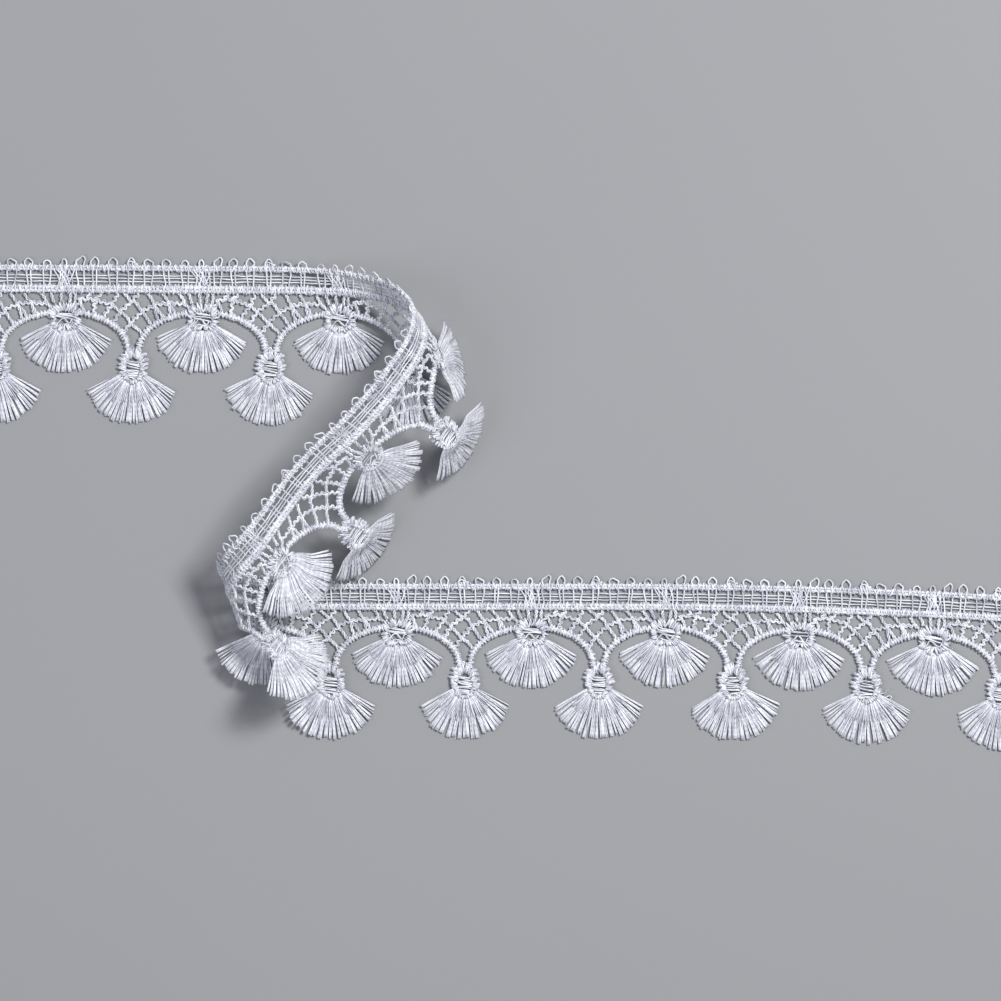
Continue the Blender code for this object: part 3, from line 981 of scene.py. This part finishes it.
def fall(fan, degrees, reach):
    """A floss thread from under the head, which leaves it straight out and droops to its tip."""
    way = math.radians(degrees)
    tip = reach * np.array((math.cos(way), -math.sin(way)))
    way = math.radians(90.0 + (degrees - 90.0) * FLOSS_SPLAY)
    way = np.array((math.cos(way), -math.sin(way)))
    start = fan.head.root
    root = way * (start.half_width, start.half_height) + (0.0, start.middle)
    bend = root + way * FLOSS_BEND * np.linalg.norm(tip - root)
    share = np.linspace(0.0, 1.0, FLOSS_POINTS)[:, None]
    return root * (1.0 - share) ** 2 + bend * 2.0 * share * (1.0 - share) + tip * share**2


def reach_at(fan, degrees):
    """How far the floss reaches from the head's middle: further in the fan's middle."""
    inward = 1.0 - (abs(degrees - 90.0) / (90.0 - fan.outer_angle)) ** 2.5
    return fan.outer_reach + (fan.middle_reach - fan.outer_reach) * inward


def floss_angle(fan, number):
    """The direction of a long thread, by its number through the fan (degrees)."""
    spread = 180.0 - 2.0 * fan.outer_angle
    return fan.outer_angle + spread * number / FLOSS_THREADS


def add_floss(threads, fan, draw):
    """Long threads under the head, drawn together in tufts, and nearer the head at the sides."""
    share = np.linspace(0.0, 1.0, FLOSS_POINTS)
    first = 0
    while first < FLOSS_THREADS:
        aside = abs(2.0 * first / FLOSS_THREADS - 1.0)
        count = int(draw.choice(SIDE_TUFT_SIZES if aside > SIDES_FROM else TUFT_SIZES))
        middle = floss_angle(fan, first + 0.5 * count) + draw.uniform(-TUFT_UNEVEN, TUFT_UNEVEN)
        cut = reach_at(fan, middle) + draw.uniform(*CUT_UNEVEN)
        lift = draw.uniform(0.0, TUFT_LIFT)
        parting = PARTING - SIDES_SOONER * smooth_step((aside - 0.5) / 0.4)
        parting = parting + draw.uniform(*PARTING_UNEVEN)
        drawn = smooth_step((share - parting) / DRAWN_OVER)[:, None]
        for thread in range(count):
            even = floss_angle(fan, first + thread + 0.5)
            even = even + draw.uniform(-START_UNEVEN, START_UNEVEN)
            aside_in_tuft = math.degrees(FLOSS_SPACING / cut) * (thread - 0.5 * (count - 1))
            reach = cut + draw.uniform(-UNEVEN, UNEVEN)
            alone = fall(fan, even, reach)
            in_tuft = fall(fan, middle + aside_in_tuft, reach)
            flat = alone * (1.0 - drawn) + in_tuft * drawn
            height = np.interp(share, *FLOSS_PROFILE)
            height = height + draw.uniform(0.0, 0.34) * (1.0 - 0.5 * share) + lift * share**3
            threads.add(np.column_stack([flat, height]), FLOSS * draw.uniform(0.9, 1.1))
        gap = draw.random() < GAPS + SIDE_GAPS * (aside > SIDES_FROM)
        first += count + int(gap)


def add_pile(threads, fan, draw):
    """Shorter threads piled over the long ones, which end two thirds of the way out."""
    start = fan.outer_angle + PILE_INSET
    spread = 180.0 - 2.0 * start
    for number in range(PILE_THREADS):
        angle = start + spread * (number + 0.5) / PILE_THREADS + draw.uniform(-2.0, 2.0)
        flat = fall(fan, angle, reach_at(fan, angle) * draw.uniform(*PILE_REACH))[::2]
        flat += np.linspace(0.0, 1.0, len(flat))[:, None] ** 2 * draw.uniform(-0.25, 0.25, 2)
        share = np.linspace(0.0, 1.0, len(flat))
        height = np.interp(share, *PILE_PROFILE)
        height = height - draw.uniform(0.0, 0.3)
        threads.add(np.column_stack([flat, height]), FLOSS * draw.uniform(0.85, 1.05))


def add_head(threads, head, draw):
    """Two layers of satin stitches round the eye, each one a zigzag thread, and highest below."""
    for layer in HEAD_LAYERS:
        points = []
        for stitch in range(HEAD_STITCHES + 1):
            angle = 90.0 + 360.0 * (stitch + layer) / HEAD_STITCHES + draw.uniform(-5.0, 5.0)
            inner = on_oval(head.eye, angle + draw.uniform(-6.0, 6.0), draw.uniform(-0.35, 0.2))
            outer = on_oval(head.rim, angle + 2.0, draw.uniform(-0.6, 0.25), head.squareness)
            after = on_oval(head.eye, angle + 9.0, 0.5)
            raised = layer + 0.15 * max(-math.sin(math.radians(angle)), 0.0)
            points += [(*inner, 0.85 * layer), (*(0.5 * (inner + outer)), 1.3 * raised)]
            points += [(*outer, 0.8 * raised), (*(0.6 * outer + 0.4 * after), 1.2 * raised)]
        threads.add(rounded(points, STITCH_SPACING), WHIP_THREAD)


def half_width_at(oval, y):
    """Half the width of an oval at a height, and not much less past its ends."""
    share = (y - oval.middle) / oval.half_height
    return oval.half_width * math.sqrt(max(1.0 - share**2, 0.15))


def add_ears(threads, head, draw):
    """The winding of a lower head sticks out on both sides as small loops, which point upwards."""
    for side in (-1.0, 1.0):
        for y in head.ears:
            y += draw.uniform(-0.25, 0.25)
            root = side * half_width_at(head.eye, y)
            tip = side * (half_width_at(head.rim, y) + draw.uniform(0.15, 0.75))
            tip_y = y + draw.uniform(0.1, 0.6)
            for inset in (0.0, 0.3):
                over = [(root, y - 0.1, 0.9), (tip - side * 0.7, tip_y - inset, 1.2)]
                end = (tip - side * inset, tip_y - 0.1, 0.9)
                under = [(tip - side * 0.7, tip_y - 0.5 + inset, 1.0), (root, y - 0.7, 0.9)]
                threads.add(rounded([*over, end, *under], FINE), EAR_THREAD)


def add_wraps(threads, head, draw):
    """Threads wound across the eye, unevenly, so that short slits stay open between them."""
    for wraps in head.wraps:
        points = []
        start = draw.choice((-1.0, 1.0))
        for number, middle in enumerate(np.linspace(wraps.top, wraps.foot, wraps.passes)):
            middle += draw.uniform(-0.25, 0.25)
            side = start * (1.0 if number % 2 else -1.0)
            half = half_width_at(head.eye, middle) * draw.uniform(0.85, 1.1) + 0.35
            slope = draw.uniform(0.0, 0.22)
            for share, height in ((-1.0, 0.6), (-0.4, 0.95), (0.4, 0.9), (1.0, 0.6)):
                x = share * side * half
                points.append((x, middle - slope * x + draw.uniform(-0.1, 0.1), height))
        threads.add(rounded(points, MEDIUM), THREAD)
    points = []
    for x, y in head.tie:
        points.append((x + draw.uniform(-0.3, 0.3), y + draw.uniform(-0.2, 0.2), 0.9))
    if points:
        threads.add(rounded(points, MEDIUM), THREAD)


def add_loose_thread(threads):
    """A thread that has come out of the winding."""
    for part in LOOSE_THREAD:
        threads.add(rounded([(x, y, 0.9) for x, y in part], 0.4), FLOSS)


# The fan thread's white, and the dark shade colour towards which the painted shade darkens it
FLOSS_WHITE = (0.88, 0.89, 0.94, 1.0)
FLOSS_SHADE = (0.3, 0.31, 0.4, 1.0)
floss_finish = thread_finish("fan thread", FLOSS_WHITE, FLOSS_SHADE, 0.3, twist=2.4, coat=0.6)

first_fan = math.ceil(2.0 * FIRST_CUT + 0.5)
last_fan = math.floor(2.0 * LAST_CUT - 0.5)
for number, half in enumerate(range(first_fan, last_fan + 1), start=1):
    repeat = 0.5 * half
    fan = LOWER_FAN if half % 2 else UPPER_FAN
    fan_draw = np.random.default_rng(100 + number)
    floss = Threads()
    add_floss(floss, fan, fan_draw)
    add_pile(floss, fan, fan_draw)
    add_head(floss, fan.head, fan_draw)
    add_ears(floss, fan.head, fan_draw)
    add_wraps(floss, fan.head, fan_draw)
    if repeat == LOOSE_THREAD_FAN:
        add_loose_thread(floss)
    piece = floss.piece(f"fan_{number:02d}_threads", fan_placing(repeat, fan), floss_finish)
    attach(piece, "root")
    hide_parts(f"fan_{number:02d}")

# The studio: a plain pale table top, one soft light from the upper right, as in the photograph, a
# weaker one from the left, and a camera straight above with a long lens.
FLOOR_COLOUR = (0.255, 0.26, 0.275, 1.0)
FLOOR_GRAIN = (0.27, 0.275, 0.29, 1.0)
FLOOR_ROUGHNESS = 0.7
FLOOR_SIZE = 12.0
FLOOR_DROP = 0.05 * MM
edge = 0.5 * FLOOR_SIZE
corners = [(x * edge, y * edge, -FLOOR_DROP) for x, y in ((-1, -1), (1, -1), (1, 1), (-1, 1))]
floor_mesh = bpy.data.meshes.new("floor")
floor_mesh.from_pydata(corners, [], [(0, 1, 2, 3)])
floor = bpy.data.objects.new("floor", floor_mesh)
bpy.context.scene.collection.objects.link(floor)
floor_finish = Finish("floor")
grain = floor_finish.node("ShaderNodeTexNoise", {}, {"Scale": 60.0, "Detail": 3.0})[0]
floor_colour = floor_finish.mixed(grain, FLOOR_COLOUR, FLOOR_GRAIN)
floor_finish.set(Base_Color=floor_colour, Roughness=FLOOR_ROUGHNESS)
floor_mesh.materials.append(floor_finish.material)


def add_light(name, place, size, power, colour):
    """A square soft light that faces the trim."""
    light = bpy.data.lights.new(name, "AREA")
    light.size = size
    light.energy = power
    light.color = colour
    lamp = bpy.data.objects.new(name, light)
    lamp.location = place
    lamp.rotation_euler = (-Vector(place)).to_track_quat("-Z", "Y").to_euler()
    bpy.context.scene.collection.objects.link(lamp)


add_light("key light", place=(0.62, 0.5, 1.25), size=0.35, power=23.5, colour=(1.0, 0.99, 0.97))
add_light("fill light", place=(-0.9, -0.3, 1.0), size=0.9, power=5.5, colour=(0.93, 0.95, 1.0))
ROOM_COLOUR = (0.85, 0.88, 0.95, 1.0)
ROOM_STRENGTH = 0.33
world = bpy.data.worlds.new("studio")
world.use_nodes = True
room = world.node_tree.nodes["Background"]
room.inputs["Color"].default_value = ROOM_COLOUR
room.inputs["Strength"].default_value = ROOM_STRENGTH
bpy.context.scene.world = world

PICTURE_WIDTH = 0.25025
PICTURE_MIDDLE = (0.0, 0.0015)
LENS = 250.0
SENSOR = 36.0
camera = bpy.data.cameras.new("camera")
camera.lens = LENS
camera.sensor_width = SENSOR
camera.clip_end = 20.0
viewpoint = bpy.data.objects.new("camera", camera)
viewpoint.location = (*PICTURE_MIDDLE, PICTURE_WIDTH * LENS / SENSOR)
bpy.context.scene.collection.objects.link(viewpoint)
bpy.context.scene.camera = viewpoint
bpy.context.scene.view_settings.view_transform = "Standard"
